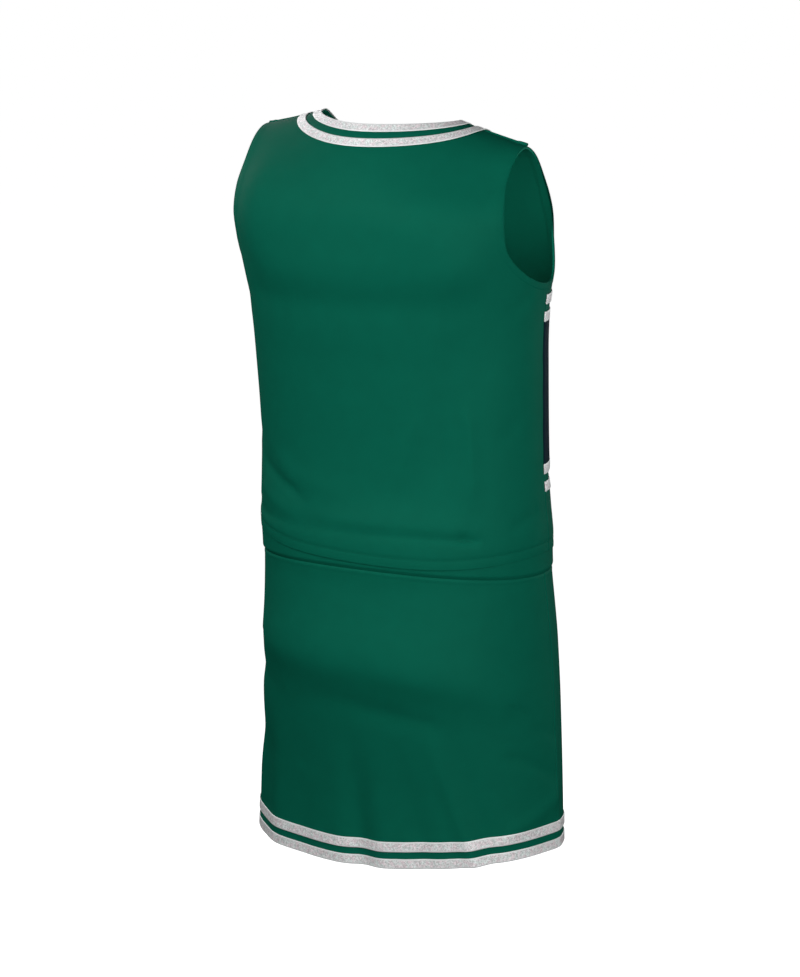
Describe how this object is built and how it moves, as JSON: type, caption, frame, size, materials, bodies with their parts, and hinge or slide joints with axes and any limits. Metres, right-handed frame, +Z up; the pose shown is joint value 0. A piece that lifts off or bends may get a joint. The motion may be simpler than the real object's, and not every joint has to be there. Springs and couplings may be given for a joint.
{
  "type": "cheerleader uniform of a sleeveless shell top and a short skirt",
  "caption": "Two-piece cheer uniform in its worn shape: a sleeveless V-neck shell top with glitter trim over a short skirt with a trimmed hem.",
  "frame": {"origin": "midway between the two shoulder seams, level with the wearer's shoulder tops, which carry the garment", "axes": "+Z up along the body, the wearer faces -Y, +X towards the wearer's left"},
  "size_m": [0.3439, 0.2274, 0.7425],
  "materials": {
    "green_knit": "smooth polyester knit with a low sheen",
    "navy_knit": "smooth polyester knit with a low sheen",
    "glitter_tape": "silver-white glitter tape"
  },
  "bodies": {
    "root": {"top_back": "green_knit", "top_front": "green_knit", "chest_band": "navy_knit", "chest_tape_lowest": "glitter_tape", "chest_tape_lower": "glitter_tape", "chest_tape_upper": "glitter_tape", "chest_tape_highest": "glitter_tape", "neck_tape_inner": "glitter_tape", "neck_tape_outer": "glitter_tape", "skirt_waistband": "green_knit", "skirt_back": "green_knit", "skirt_front": "green_knit", "hem_tape_lower": "glitter_tape", "hem_tape_upper": "glitter_tape"}
  },
  "joints": []
}
